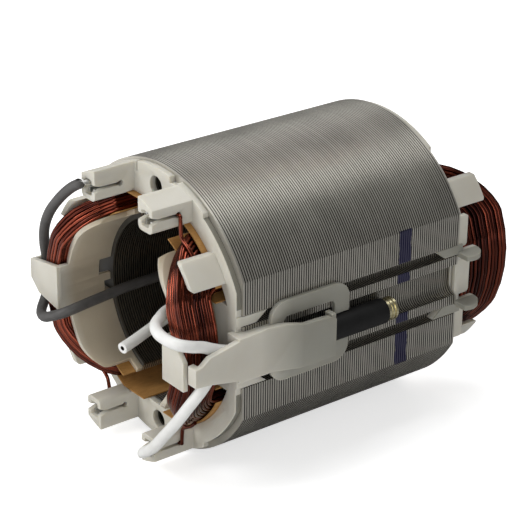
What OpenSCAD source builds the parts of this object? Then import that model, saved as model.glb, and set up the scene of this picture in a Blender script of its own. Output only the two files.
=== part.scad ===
// Wound two-pole field stator of a universal motor, millimetres.
// The rotor axis lies along Y, the front face of the core is at y = 0 and the flats face left and right (X).

/* [Core] */
// Outer diameter of the lamination stack
core_d = 70; // [60:0.5:80]
// Depth of the two side flats below the round outside
flat_depth = 4.4; // [3:0.1:6]
// Length of the lamination stack
stack_l = 64; // [30:1:110]
// Radial depth of the winding slots
slot_depth = 5.8; // [5.4:0.1:6.2]
// Angle covered by each pole face
pole_arc = 134; // [124:1:140]
// Radial thickness of the pole horns
horn_t = 2.4; // [1.8:0.1:3]
// Angle covered by each pole neck
neck_arc = 54.3; // [44:0.1:56]
// Thickness of the yoke behind the coils
yoke_t = 6.2; // [5:0.1:7]
// Thickness of the yoke at the screw holes
screw_yoke_t = 9; // [8:0.1:10]
// Diameter of the two screw holes
screw_d = 4.6; // [3:0.1:5]
// Depth of the screw hole centres below the round outside
screw_depth = 5; // [4.4:0.1:5.4]

/* [Side profile] */
// Width of the channel down each flat
channel_w = 8; // [5:0.2:9]
// Depth of that channel
channel_depth = 2.6; // [1:0.1:3]
// Width of the narrow groove on each side of the channel
groove_w = 2.7; // [1.5:0.1:3.5]
// Depth of the narrow grooves
groove_depth = 2.5; // [1:0.1:3]
// Width of the strip left between channel and groove
strip_w = 2.3; // [1:0.1:3]

/* [End frames] */
// Thickness of the ring plates
ring_t = 1.5; // [1:0.1:2.5]
// Thickness of the moulded walls
wall_t = 1.2; // [0.8:0.1:1.3]
// Reach of the walls that cover the pole faces
wall_reach = 11.8; // [8:0.1:12]
// Reach of the outer tabs
tab_reach = 10.6; // [6:0.1:12]
// Width of a terminal pocket
pocket_w = 5.3; // [5:0.1:7]
// Distance between the left and right pockets
pocket_pitch = 22.6; // [21:0.1:24]
// Reach of the terminal pockets
pocket_reach = 12.3; // [9:0.1:16]
// Width of the hooks over the front end turns
hook_w = 11; // [7:0.1:12]

/* [Coils] */
// Angle of the slot that each wire bundle fills
coil_arc = 31; // [20:0.5:31.5]
// How far the front end turns stand out
front_overhang = 13.8; // [11:0.1:18]
// How far the rear end turns stand out
rear_overhang = 18.5; // [13:0.1:24]
// Strands seen across the bundle
strands = 13; // [8:1:16]
// Thickness of the slot papers
liner_t = 0.3; // [0.2:0.05:0.4]
// How far the slot papers stand out
liner_out = 3; // [1.8:0.1:3]
// How far the paper flap beside the pole tip stands out in front
flap_out = 5; // [3:0.1:5.4]

/* [Leads] */
// Diameter of the white leads
white_d = 3; // [2:0.1:3]
// Diameter of the grey lead
grey_d = 2.5; // [1.5:0.1:2.6]
// Diameter of the bare conductor in a lead
bare_d = 1; // [0.6:0.1:1.1]
// Diameter of the magnet wire
wire_d = 0.9; // [0.5:0.05:1]
// Diameter of the black sleeve
sleeve_d = 6.1; // [5:0.1:6.3]
// Length of the black sleeve
sleeve_l = 27.8; // [22:0.2:36]

/* [Clearances] */
// Gap between parts that lie side by side
gap = 0.2; // [0.1:0.05:0.3]
// Gap between a slot paper and the steel
paper_gap = 0.1; // [0.05:0.05:0.15]
// Gap between a sliding fit and its socket
slide = 0.05; // [0.05:0.01:0.1]

/* [Hidden] */
$fn = 64;

IVORY = [0.80, 0.79, 0.74];
STEEL = [0.55, 0.54, 0.50];
ENAMEL = [0.42, 0.17, 0.12];
PAPER = [0.68, 0.54, 0.36];
TIN = [0.72, 0.72, 0.70];
BRASS = [0.76, 0.68, 0.42];
GREY = [0.34, 0.35, 0.34];
WHITE = [0.90, 0.90, 0.88];
BLACK = [0.10, 0.10, 0.10];

core_r = core_d / 2;
spread = core_d / 70;
flat_x = core_r - flat_depth;
slot_r = core_r - yoke_t;
slot_z = core_r - screw_yoke_t;
horn_r = slot_r - slot_depth;
bore_r = horn_r - horn_t;
neck_w = 2 * horn_r * sin(neck_arc / 2);
screw_z = core_r - screw_depth;
groove_z = channel_w / 2 + strip_w + groove_w / 2;
liner_in = paper_gap + liner_t;

ring_r = core_r - 0.6;
ring_x = flat_x - 0.6;
step_x = core_r / 2 + 0.3;
wall_r = horn_r - wall_t;
wall_arc = pole_arc - 18;
guard_r = slot_r + 0.8;
hook_y = front_overhang + gap;

coil_in = horn_r + liner_in + 0.1;
coil_out = slot_r - liner_in - 0.2;
end_in = wall_r + wall_t + gap;
end_out = slot_r - 0.1;
mid_r = (coil_in + coil_out) / 2;
rad = 180 / PI;
coil_w = mid_r * coil_arc / rad;
first_turn = mid_r * asin((neck_w / 2 + liner_in + gap) / coil_in) / rad;
turn_r = 1.5;
first_out = liner_out + 1.2;
front_k = (front_overhang - first_out) / coil_w;
rear_k = (rear_overhang - first_out) / coil_w;

pocket_x = pocket_pitch / 2;
pocket_z = slot_z - 0.45;
socket_w = pocket_w - 2 * wall_t;
socket_h = 3.9;
socket_z = pocket_z + wall_t + socket_h / 2;
terminal_back = ring_t + 0.3;
terminal_bridge = terminal_back + 1.9;
terminal_front = pocket_reach - 1;
slit_out = 5.2;
bare_z = socket_z + wire_d / 2 + bare_d / 2 + gap;
bare_y = terminal_bridge + slide;

bar_x = flat_x + 1.4;
bar_t = 1.4;
base_x = flat_x + 0.05;
base_t = 1.1;
sleeve_x = flat_x + 1;
sleeve_z = -0.75;
sleeve_y = 13;
sleeve_r = sleeve_d / 2;
cradle_x = sleeve_x + sleeve_r + 0.1;
cradle_z = sleeve_z - sleeve_r - 0.1;
receptacle_r = sleeve_r - 0.5;
receptacle_in = sleeve_l / 2;
receptacle_out = 1.6;
lead_x = flat_x - 0.2;
white_step = white_d / 2 + slide;
base_front = 7;
base_end = 29.5;
cradle_end = 22.3;
grey_end_y = stack_l + 2;

function routed(p) = [for (q = p) [q[0] * spread, q[1], q[2] * spread]];
white_brush_route = concat(
    [[pocket_x, -bare_y, -bare_z], [pocket_x + 0.1, -12.6, -bare_z], [pocket_x + 1, -14.3, 0.6 - bare_z]],
    routed([[12.6, -14.5, -28.6], [17, -15, -25.2], [21, -14.6, -20.4], [25.5, -14.2, -14.8],
        [29, -13.6, -9.8], [30.8, -11.4, -5.6]]),
    [[lead_x, -8, -2.8], [lead_x, -4, -1.8], [lead_x, 3, -1.8], [flat_x, 7, -1.8],
        [sleeve_x, sleeve_y - 2, sleeve_z - white_step], [sleeve_x, sleeve_y, sleeve_z - white_step]]);
white_supply_route = concat(
    [[sleeve_x, sleeve_y, sleeve_z + white_step], [sleeve_x, sleeve_y - 2, sleeve_z + white_step],
        [flat_x, 7, 1.4], [lead_x, 3, 1.6], [lead_x, -3, 1.6], [lead_x, -7, 2.9], [lead_x, -10.8, 4.7]],
    routed([[30.8, -14.2, 6], [29.6, -16.8, 6.8], [26.4, -17.5, 6.9], [22.8, -17.2, 7],
        [19.6, -15.6, 7.2], [17, -12.6, 7], [14.2, -9, 6.4], [11.5, -5.6, 4.8], [8.6, -3.6, 1.8],
        [5.8, -4.4, -1.2], [3, -7.6, -4.4], [-0.6, -11, -8.4]]));
grey_route = concat(
    [[-pocket_x, -bare_y, bare_z], [-pocket_x - 0.1, -12.4, bare_z], [-pocket_x - 1, -13.8, bare_z]],
    routed([[-12.6, -13.9, 29.3], [-15.4, -13.8, 27.6], [-18.6, -13.7, 25.2], [-22.4, -13.6, 21.8],
        [-26.4, -13.5, 17.4], [-29.6, -13, 12.4], [-31.6, -12, 7.4], [-32.2, -11.2, 3], [-32.2, -11.2, -2.8],
        [-31.6, -12, -6.2], [-29.2, -15, -8.7], [-25.2, -16.8, -8.3], [-20.6, -17.4, -6.2],
        [-17, -15.6, -4.2], [-16.2, -11, -3.2], [-16.6, -4, -2.8], [-17.2, 4, -2.6], [-17.4, 24, -2.6],
        [-17.4, grey_end_y, -2.6]]));

function unit(v) = v / norm(v);
function lerp(a, b, t) = a + (b - a) * t;
function clamp(v) = max(0, min(1, v));

function tangent(p, i) = unit(p[min(i + 1, len(p) - 1)] - p[max(i - 1, 0)]);
function upright(t) = unit(cross(t, abs(t[2]) < 0.8 ? [0, 0, 1] : [1, 0, 0]));
function carried(p, i) = i == 0 ? upright(tangent(p, 0))
    : let (n = carried(p, i - 1), t = tangent(p, i)) unit(n - t * (n * t));
function tube_points(p, d, sides, bare) = [for (i = [0 : len(p) - 1])
    let (t = tangent(p, i), n = carried(p, i), b = cross(t, n), r = (i < bare ? bare_d : d) / 2)
    for (j = [0 : sides - 1]) p[i] + r * (cos(360 * j / sides) * n + sin(360 * j / sides) * b)];
function band_faces(rings, count, closed) = [
    for (i = [0 : rings - (closed ? 1 : 2)])
    for (j = [0 : count - 1])
    let (a = i * count + j, b = i * count + (j + 1) % count, next = ((i + 1) % rings) * count)
    for (f = [[a, b, next + (j + 1) % count], [a, next + (j + 1) % count, next + j]]) f];

// A round tube swept along the route points, its first rings left bare.
module cord(p, d, bare = 0, sides = 8) {
    polyhedron(points = tube_points(p, d, sides, bare),
        faces = concat(band_faces(len(p), sides, false),
            [[for (j = [sides - 1 : -1 : 0]) j]],
            [[for (j = [0 : sides - 1]) (len(p) - 1) * sides + j]]),
        convexity = 6);
}

// Stations round the end turns: corner centre along the width, corner centre along the axis, angle, stretch.
corner = [0, 15, 30, 45, 60, 75, 90];
side_c = first_turn - turn_r;
front_c = first_out - turn_r;
rear_c = -stack_l - first_out + turn_r;
stations = concat(
    [for (a = corner) [side_c, front_c, a, front_k]],
    [for (s = [0.5, 0, -0.5]) [s * side_c, front_c, 90, front_k]],
    [for (a = corner) [-side_c, front_c, 90 + a, front_k]],
    [for (a = corner) [-side_c, rear_c, 180 + a, rear_k]],
    [for (s = [-0.5, 0, 0.5]) [s * side_c, rear_c, 270, rear_k]],
    [for (a = corner) [side_c, rear_c, 270 + a, rear_k]]);

// Outline of the bundle: distance from the first turn and share of the radial depth, a ridge for each strand.
layers = 6;
strand_dip = 0.35;
corner_dip = 1.6;
row_w = coil_w - strand_dip - corner_dip;
bundle = concat(
    [for (i = [0 : 4]) [row_w * i / 5, 0]],
    [for (i = [0 : 2 * layers])
        [coil_w - (i % 2 == 0 ? strand_dip : 0) - corner_dip * pow(i / layers - 1, 4), i / layers / 2]],
    [for (i = [1 : 2 * strands]) [row_w * (1 - i / strands / 2), 1 - (i % 2 == 0 ? 0.07 : 0)]]);

function overhang(w) = max(w, -stack_l - w);
function lean(v) = sign(v) * pow(abs(v), 1.45);
function bundle_point(s, b) =
    let (p = s[0] + turn_r * cos(s[2]) + b[0] * lean(cos(s[2])),
        w = s[1] + turn_r * sin(s[2]) + s[3] * b[0] * lean(sin(s[2])),
        e = clamp((overhang(w) - liner_out - 3) / 4),
        r = lerp(lerp(coil_in, end_in, e), lerp(coil_out, end_out, e), b[1]),
        a = p / mid_r * rad)
    [r * cos(a), r * sin(a), w];

module coil() {
    polyhedron(points = [for (s = stations) for (b = bundle) bundle_point(s, b)],
        faces = band_faces(len(stations), len(bundle), true), convexity = 8);
}

// Sketches are drawn as seen from the front; their height points forward.
module on_axis() {
    rotate([90, 0, 0]) children();
}

module both_sides() {
    for (s = [0, 1]) mirror([s, 0, 0]) children();
}

module quarters() {
    both_sides() for (s = [0, 1]) mirror([0, s, 0]) children();
}

module at_quarter(left, bottom) {
    on_axis() mirror([left ? 1 : 0, 0, 0]) mirror([0, bottom ? 1 : 0, 0]) children();
}

// Sketch x is up and sketch y is forward; thickness runs outward along X.
module side_sketch(x, t) {
    translate([x, 0, 0]) rotate([90, 0, 90]) linear_extrude(t) children();
}

// Sketch x is X and sketch y is forward; thickness runs up from z.
module plan_sketch(z, h) {
    translate([0, z + h, 0]) rotate([90, 0, 0]) linear_extrude(h) children();
}

module rounded(x0, y0, x1, y1, r) {
    translate([x0 + r, y0]) square([x1 - x0 - 2 * r, y1 - y0]);
    translate([x0, y0 + r]) square([x1 - x0, y1 - y0 - 2 * r]);
    for (x = [x0 + r, x1 - r]) for (y = [y0 + r, y1 - r]) translate([x, y]) circle(r);
}

module sector(r, a0, a1) {
    m = (a0 + a1) / 2;
    intersection() {
        circle(r);
        polygon([[0, 0], 3 * r * [cos(a0), sin(a0)], 3 * r * [cos(m), sin(m)], 3 * r * [cos(a1), sin(a1)]]);
    }
}

module arc_wall(r, t, a0, a1, h) {
    linear_extrude(h) difference() {
        sector(r + t, a0, a1);
        circle(r);
    }
}

module slot_space(inset) {
    difference() {
        intersection() {
            circle(slot_r - inset);
            square([2 * slot_r, 2 * (slot_z - inset)], center = true);
        }
        square([2 * slot_r, neck_w + 2 * inset], center = true);
        both_sides() sector(horn_r + inset, -pole_arc / 2, pole_arc / 2);
    }
}

module screw_holes(d) {
    for (s = [-1, 1]) translate([0, s * screw_z]) circle(d = d);
}

module side_cuts() {
    r = channel_depth * 0.9;
    both_sides() {
        translate([flat_x - channel_depth, r - channel_w / 2]) square([channel_depth + 1, channel_w - 2 * r]);
        translate([flat_x - channel_depth + r, -channel_w / 2]) square([channel_depth - r + 1, channel_w]);
        for (s = [-1, 1]) {
            translate([flat_x - channel_depth + r, s * (channel_w / 2 - r)]) circle(r);
            translate([flat_x - groove_depth, s * groove_z - groove_w / 2])
                square([groove_depth + 1, groove_w]);
        }
    }
}

module lamination_stack() {
    color(STEEL) on_axis() translate([0, 0, -stack_l]) linear_extrude(stack_l) difference() {
        intersection() {
            circle(core_r);
            square([2 * flat_x, core_d], center = true);
        }
        slot_space(0);
        circle(bore_r);
        screw_holes(screw_d);
        side_cuts();
    }
}

module plate() {
    difference() {
        union() {
            intersection() {
                circle(ring_r);
                square([2 * step_x, core_d], center = true);
            }
            intersection() {
                circle(ring_r - 1);
                square([2 * ring_x, core_d], center = true);
            }
        }
        slot_space(0);
        circle(wall_r);
        screw_holes(screw_d + 0.2);
        both_sides() translate([flat_x - channel_depth + 0.2, -channel_w / 2])
            square([channel_depth, channel_w]);
    }
}

// Wall over a pole face with its front corners rounded; children are drawn on the same curve.
module pole_wall(reach, r, top) {
    z = (wall_r + wall_t) * sin(wall_arc / 2);
    intersection() {
        arc_wall(wall_r, wall_t, -wall_arc / 2, wall_arc / 2, top);
        side_sketch(0, core_r) {
            rounded(-z, -2 * r, z, reach, r);
            children();
        }
    }
}

// Tab that keeps the outside of a coil in place.
module outer_tab(reach, a0, a1) {
    intersection() {
        arc_wall(guard_r, wall_t, a0 - 4, a1 + 4, reach);
        side_sketch(0, core_r) rounded(guard_r * sin(a0), -4, (guard_r + wall_t) * sin(a1), reach, 0.7);
    }
}

// Tongue that keys the frame into a side groove, cut off at a slant.
module groove_tongue(l) {
    w = groove_w / 2 - gap;
    for (s = [0, 1]) mirror([0, s, 0]) side_sketch(flat_x - groove_depth + gap, groove_depth - gap - 0.1)
        polygon([[groove_z - w, ring_t], [groove_z - w, 2.9 - l], [groove_z + w, -l],
            [groove_z + w, ring_t]]);
}

module pocket_body() {
    difference() {
        linear_extrude(pocket_reach) intersection() {
            circle(ring_r - 0.1);
            translate([pocket_x, 0]) rounded(-pocket_w / 2, pocket_z, pocket_w / 2, core_r + 2, 1.2);
        }
        translate([0, 0, -1]) cube([core_r, slot_z, 1 + liner_out + 0.4]);
    }
}

// Socket, wire hole and the slit that leads to it, flared at the mouth.
module pocket_cuts() {
    translate([pocket_x, socket_z, ring_t]) linear_extrude(pocket_reach)
        rounded(-socket_w / 2, -socket_h / 2, socket_w / 2, socket_h / 2, 0.6);
    translate([pocket_x, socket_z, slit_out]) rotate([0, 90, 0])
        cylinder(h = pocket_w + 1, d = wire_d + 0.6, center = true);
    translate([0, socket_z, 0]) side_sketch(pocket_x - pocket_w / 2 - 0.5, pocket_w + 1)
        polygon([[-0.4, slit_out], [0.4, slit_out], [0.4, pocket_reach - 1.6], [1, pocket_reach + 0.2],
            [-1, pocket_reach + 0.2], [-0.4, pocket_reach - 1.6]]);
}

// Hook over the middle of the left front end turns, narrowing to a lip turned back outside the coil.
module left_hook() {
    h = hook_y;
    t = wall_t;
    half = hook_w / 2;
    fold = slot_r + 0.7;
    lip = flat_x + 3.4;
    mirror([1, 0, 0]) {
        pole_wall(wall_reach, 6, h + 0.5) translate([-half, 0]) square([hook_w, h + t]);
        intersection() {
            plan_sketch(-half, hook_w) polygon([[wall_r - 0.4, h], [fold, h], [lip, h - 0.9], [lip, h - 3.6],
                [lip + t, h - 3.6], [lip + t, h - 0.1], [fold + 0.3, h + t], [wall_r - 0.4, h + t]]);
            linear_extrude(h + 2 * t) polygon([[wall_r - 1, -half], [wall_r, -half], [fold, 1.3 - half],
                [lip + t + 0.1, 3.1 - half], [lip + t + 0.1, half - 3.1], [fold, half - 1.3], [wall_r, half],
                [wall_r - 1, half]]);
        }
    }
}

// Hook over the middle of the right front end turns, its upper corner cut away for a lead.
module right_hook() {
    h = hook_y;
    pole_wall(wall_reach, 6, h + 0.5) translate([-hook_w / 2, 0]) square([hook_w - 0.3, h + wall_t]);
    translate([0, 0, h]) linear_extrude(wall_t)
        polygon([[wall_r - 0.4, -hook_w / 2], [bar_x - 2.7, -hook_w / 2], [bar_x - 2.7, 1.4],
            [bar_x - 6, hook_w / 2 - 0.3], [wall_r - 0.4, hook_w / 2 - 0.3]]);
}

// Notches at the foot of the left pole wall.
module wall_notches() {
    for (n = [[0, 4.2, 3.2], [-4.4, 2.6, 1.8]])
        translate([-horn_r - 1, n[0], -1]) cube([horn_r - bore_r + 2, n[1], n[2] + 1]);
}

// Side arm: a bar in front of the flat, a base plate lying on it and a cradle for the sleeve.
module side_arm() {
    h = hook_y;
    out = cradle_x + 1.3;
    bar_out = bar_x + bar_t;
    floor_z = cradle_z - 1.3;
    intersection() {
        plan_sketch(-8, 16) polygon([[bar_x, h - 0.6], [bar_x - 1.4, h - 0.6], [bar_x - 1.4, h + 0.8],
            [bar_out, h + 0.8], [bar_out, -5], [out, -12.4], [out, -cradle_end], [cradle_x, -cradle_end],
            [cradle_x, -12.6], [bar_x, -5.2]]);
        side_sketch(bar_x - 2, 8) polygon([[-3, h + 1], [1.4, h + 1], [1.6, h - 1], [3.2, 11], [5.3, 0.5],
            [5.7, -5], [6, -9], [5.7, -11.6], [5.3, -13.6], [5.2, -18], [5, -20.6], [4.2, 0.4 - cradle_end],
            [4, -cradle_end - 0.2], [floor_z, -cradle_end - 0.2], [floor_z, -6], [-5.5, 0], [-3.3, 11]]);
    }
    translate([cradle_x - 1.4, 3, -cradle_end]) cube([2.4, 2.3, 1.2]);
    for (z = [-5.5, 3.4]) translate([ring_x - 1, z, -base_front - 2]) difference() {
        cube([bar_out - ring_x + 1, 1.9, base_front + 5]);
        translate([-1, -1, -1]) cube([base_x - ring_x + 2, 5, base_front + 3]);
    }
    plan_sketch(floor_z, 1.3) polygon([[base_x, -5], [bar_out, -5], [out, -12.4], [out, -cradle_end],
        [base_x, -cradle_end]]);
    side_sketch(base_x, base_t) difference() {
        rounded(-9.6, -base_end, 10.1, -base_front, 4);
        rounded(cradle_z, -25.3, 6.2, -10.7, 1.2);
        translate([cradle_z, -base_end - 1]) square([sleeve_r + sleeve_z + 0.3 - cradle_z, 12]);
        translate([cradle_z, -11.5]) square([3.4 - cradle_z, 11.5]);
    }
}

module front_end_frame() {
    color(IVORY) on_axis() difference() {
        union() {
            linear_extrude(ring_t) plate();
            both_sides() groove_tongue(6.7);
            quarters() {
                pocket_body();
                outer_tab(tab_reach, 32.4, 44);
            }
            left_hook();
            right_hook();
            side_arm();
        }
        quarters() pocket_cuts();
        wall_notches();
        translate([-7.6, core_r, -1]) linear_extrude(ring_t + 2) {
            translate([-0.4, -3.8]) square([0.8, 4]);
            translate([0, -3.8]) circle(0.4);
        }
        translate([5.3, ring_r - 1.9, -1]) cube([3, 4, ring_t + 1]);
    }
}

module rear_end_frame() {
    color(IVORY) on_axis() translate([0, 0, -stack_l]) mirror([0, 0, 1]) {
        linear_extrude(ring_t) plate();
        both_sides() {
            pole_wall(wall_reach, 6, wall_reach + 1);
            groove_tongue(7);
            side_sketch(ring_x - 1, 1) for (s = [-1, 1]) translate([s * 12, 0]) rounded(-4, 0, 4, 3.2, 0.8);
            side_sketch(ring_x - 1, 1) rounded(-4.5, 0, 4.5, 4.5, 1);
            for (z = [-groove_z + 0.6, groove_z - 1.8]) plan_sketch(z, 1.2) intersection() {
                translate([flat_x - 0.3, 2]) circle(4.1);
                translate([slot_r + 0.4, 0]) square([8, 8]);
            }
        }
        quarters() outer_tab(12, 33, 48);
    }
}

module left_field_coil() {
    color(ENAMEL) on_axis() rotate(180) coil();
}

module right_field_coil() {
    color(ENAMEL) on_axis() coil();
}

// Folded paper lining one slot, open towards the gap between the poles.
module liner() {
    difference() {
        translate([0, 0, -stack_l - liner_out]) linear_extrude(stack_l + liner_out + flap_out) intersection() {
            difference() {
                slot_space(paper_gap);
                slot_space(liner_in);
            }
            union() {
                sector(core_r, 0, pole_arc / 2 - 1);
                translate([4, slot_z - 1.5]) square([core_r, 3]);
            }
        }
        translate([0, 0, liner_out]) linear_extrude(flap_out) difference() {
            square(2 * core_d, center = true);
            sector(horn_r + 1, 50, pole_arc / 2 + 2);
        }
    }
}

module liner_top_left() {
    color(PAPER) at_quarter(true, false) liner();
}

module liner_top_right() {
    color(PAPER) at_quarter(false, false) liner();
}

module liner_bottom_left() {
    color(PAPER) at_quarter(true, true) liner();
}

module liner_bottom_right() {
    color(PAPER) at_quarter(false, true) liner();
}

// Tin-plated forked terminal that clamps the coil tail inside its pocket.
module terminal() {
    w = socket_w - 2 * gap;
    h = socket_h / 2 - gap;
    v = wire_d / 2 + gap;
    difference() {
        translate([0, socket_z, 0]) side_sketch(pocket_x - w / 2, w)
            polygon([[-h, terminal_back], [h, terminal_back], [h, terminal_front], [v, terminal_front],
                [v, slit_out - v], [-v, slit_out - v], [-v, terminal_front], [-h, terminal_front]]);
        translate([pocket_x - w / 2 + 0.6, socket_z - 3, terminal_bridge]) cube([w - 1.2, 6, pocket_reach]);
    }
}

module terminal_top_left() {
    color(TIN) at_quarter(true, false) terminal();
}

module terminal_top_right() {
    color(TIN) at_quarter(false, false) terminal();
}

module terminal_bottom_left() {
    color(TIN) at_quarter(true, true) terminal();
}

module terminal_bottom_right() {
    color(TIN) at_quarter(false, true) terminal();
}

// Magnet wire from the coil through the pocket slit.
module tail() {
    x = pocket_x + pocket_w / 2;
    r = coil_out + wire_d / 2 + gap;
    cord([[pocket_x - socket_w / 2, socket_z, slit_out], [x + 0.2, socket_z, slit_out],
        [x + 0.9, socket_z - 1, slit_out + 0.2], [x + 1.2, socket_z - 3, slit_out + 0.3],
        [x + 1.8, socket_z - 4.8, slit_out + 0.4], [r * cos(50), r * sin(50), slit_out + 0.4],
        [r * cos(45), r * sin(45), slit_out + 0.4]], wire_d);
}

module coil_tail_top_left() {
    color(ENAMEL) at_quarter(true, false) tail();
}

module coil_tail_top_right() {
    color(ENAMEL) at_quarter(false, false) tail();
}

module coil_tail_bottom_left() {
    color(ENAMEL) at_quarter(true, true) tail();
}

module coil_tail_bottom_right() {
    color(ENAMEL) at_quarter(false, true) tail();
}

module grey_lead() {
    color(GREY) cord(grey_route, grey_d, 3);
}

module grey_lead_terminal() {
    end = grey_route[len(grey_route) - 1];
    color(TIN) translate(end) {
        rotate([-90, 0, 0]) cylinder(h = 6, d = grey_d + 0.6);
        translate([-0.4, 5, -2.4]) cube([0.8, 11, 4.8]);
        for (z = [-2.4, 1.6]) translate([-0.4, 6.5, z]) cube([2, 9.5, 0.8]);
    }
}

module white_brush_lead() {
    color(WHITE) cord(white_brush_route, white_d, 3);
}

module white_supply_lead() {
    color(WHITE) cord(white_supply_route, white_d);
}

module black_sleeve() {
    color(BLACK) translate([sleeve_x, sleeve_y, sleeve_z]) rotate([-90, 0, 0]) difference() {
        cylinder(h = sleeve_l, r = sleeve_r);
        translate([0, 0, sleeve_l - receptacle_in]) cylinder(h = receptacle_in + 1, r = receptacle_r + slide);
    }
}

module brush_receptacle() {
    l = receptacle_in + receptacle_out;
    base_y = sleeve_y + sleeve_l - receptacle_in;
    color(BRASS) translate([sleeve_x, base_y, sleeve_z]) rotate([-90, 0, 0]) difference() {
        union() {
            cylinder(h = l, r = receptacle_r);
            translate([0, 0, receptacle_in + 0.1]) cylinder(h = 0.5, r = receptacle_r + 0.15);
            translate([0, 0, l - 0.6]) cylinder(h = 0.6, r = receptacle_r + 0.25);
        }
        translate([0, 0, 2]) cylinder(h = l, r = receptacle_r - 0.5);
    }
}

lamination_stack();
front_end_frame();
rear_end_frame();
left_field_coil();
right_field_coil();
liner_top_left();
liner_top_right();
liner_bottom_left();
liner_bottom_right();
terminal_top_left();
terminal_top_right();
terminal_bottom_left();
terminal_bottom_right();
coil_tail_top_left();
coil_tail_top_right();
coil_tail_bottom_left();
coil_tail_bottom_right();
grey_lead();
grey_lead_terminal();
white_brush_lead();
white_supply_lead();
black_sleeve();
brush_receptacle();
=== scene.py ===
"""Dresses the wound field stator of a universal motor for its picture."""
import logging
import math
import random
from collections.abc import Iterator, Sequence
from contextlib import contextmanager
from dataclasses import dataclass, field
from enum import Enum
from functools import cached_property

import bpy
from mathutils import Matrix, Vector


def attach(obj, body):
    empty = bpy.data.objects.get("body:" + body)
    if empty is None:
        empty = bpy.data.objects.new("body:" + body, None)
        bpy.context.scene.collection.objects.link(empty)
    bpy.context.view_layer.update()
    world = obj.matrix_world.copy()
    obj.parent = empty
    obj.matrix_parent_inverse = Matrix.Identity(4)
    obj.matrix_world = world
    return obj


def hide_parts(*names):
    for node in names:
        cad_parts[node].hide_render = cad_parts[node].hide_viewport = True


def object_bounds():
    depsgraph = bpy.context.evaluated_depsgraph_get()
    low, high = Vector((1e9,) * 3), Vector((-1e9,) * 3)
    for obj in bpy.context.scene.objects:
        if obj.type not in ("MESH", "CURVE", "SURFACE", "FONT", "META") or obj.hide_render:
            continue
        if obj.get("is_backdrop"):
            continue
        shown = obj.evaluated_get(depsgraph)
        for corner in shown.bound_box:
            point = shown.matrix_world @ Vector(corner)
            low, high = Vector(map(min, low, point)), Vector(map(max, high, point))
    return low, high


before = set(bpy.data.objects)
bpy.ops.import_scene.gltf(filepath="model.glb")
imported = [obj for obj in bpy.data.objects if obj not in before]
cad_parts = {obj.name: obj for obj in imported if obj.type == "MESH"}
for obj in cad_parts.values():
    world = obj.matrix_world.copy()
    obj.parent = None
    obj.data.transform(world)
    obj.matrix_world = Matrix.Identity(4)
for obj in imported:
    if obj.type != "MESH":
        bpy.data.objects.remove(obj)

Piece = bpy.types.Object
Material = bpy.types.Material
Socket = bpy.types.NodeSocket
Colour = tuple[float, float, float]
Spot = tuple[float, float, float]
Span = tuple[float, float]
Station = tuple[float, float, float, float]

LOG = logging.getLogger("stator")
MM = 0.001
BODY = "root"
PICTURE_PX = 528
STACK_L = 64 * MM
SHEETS = 98
SHEET_T = STACK_L / SHEETS


class Side(Enum):
    """The side of the rotor axis that a piece lies on."""

    LEFT = -1
    RIGHT = 1


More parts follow.
